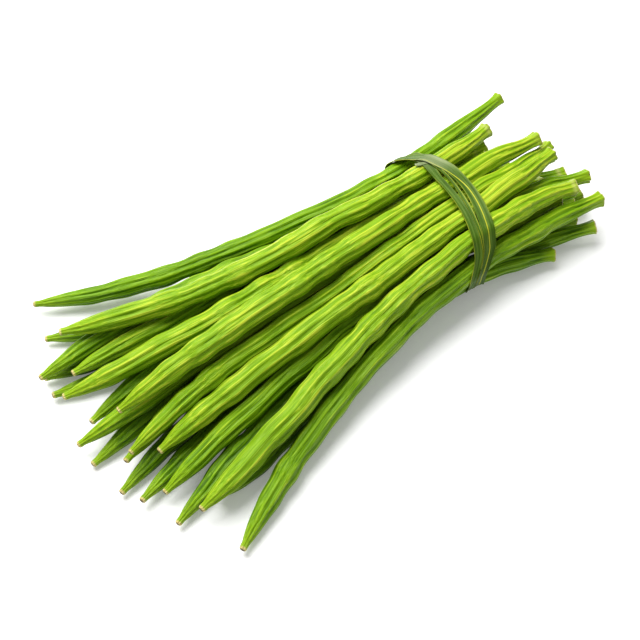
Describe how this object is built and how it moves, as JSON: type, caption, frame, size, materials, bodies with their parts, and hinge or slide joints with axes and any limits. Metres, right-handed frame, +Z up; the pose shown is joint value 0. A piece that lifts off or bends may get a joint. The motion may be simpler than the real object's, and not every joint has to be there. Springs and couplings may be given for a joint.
{
  "type": "bunch of moringa pods",
  "caption": "Bunch of long ribbed green moringa pods, tied near the stems with a wound leaf strip so they fan out to the tips; lies on a table.",
  "frame": {"origin": "centre of the bounding box in plan, at the underside where the lowest pods and the leaf strip rest", "axes": "+X from the pods' tips towards their cut stems, +Y across the fan towards its back pod, +Z up"},
  "size_m": [0.4786, 0.2832, 0.0736],
  "materials": {
    "pod_skin": "waxy green pod skin with light streaks",
    "leaf_strip": "satin dark green leaf"
  },
  "bodies": {
    "root": {"pod_01": "pod_skin", "pod_02": "pod_skin", "pod_03": "pod_skin", "pod_04": "pod_skin", "pod_05": "pod_skin", "pod_06": "pod_skin", "pod_07": "pod_skin", "pod_08": "pod_skin", "pod_09": "pod_skin", "pod_10": "pod_skin", "pod_11": "pod_skin", "pod_12": "pod_skin", "pod_13": "pod_skin", "pod_14": "pod_skin", "pod_15": "pod_skin", "pod_16": "pod_skin", "pod_17": "pod_skin", "pod_18": "pod_skin", "pod_19": "pod_skin", "pod_20": "pod_skin", "pod_21": "pod_skin", "pod_22": "pod_skin", "pod_23": "pod_skin", "leaf_tie": "leaf_strip"}
  },
  "joints": []
}
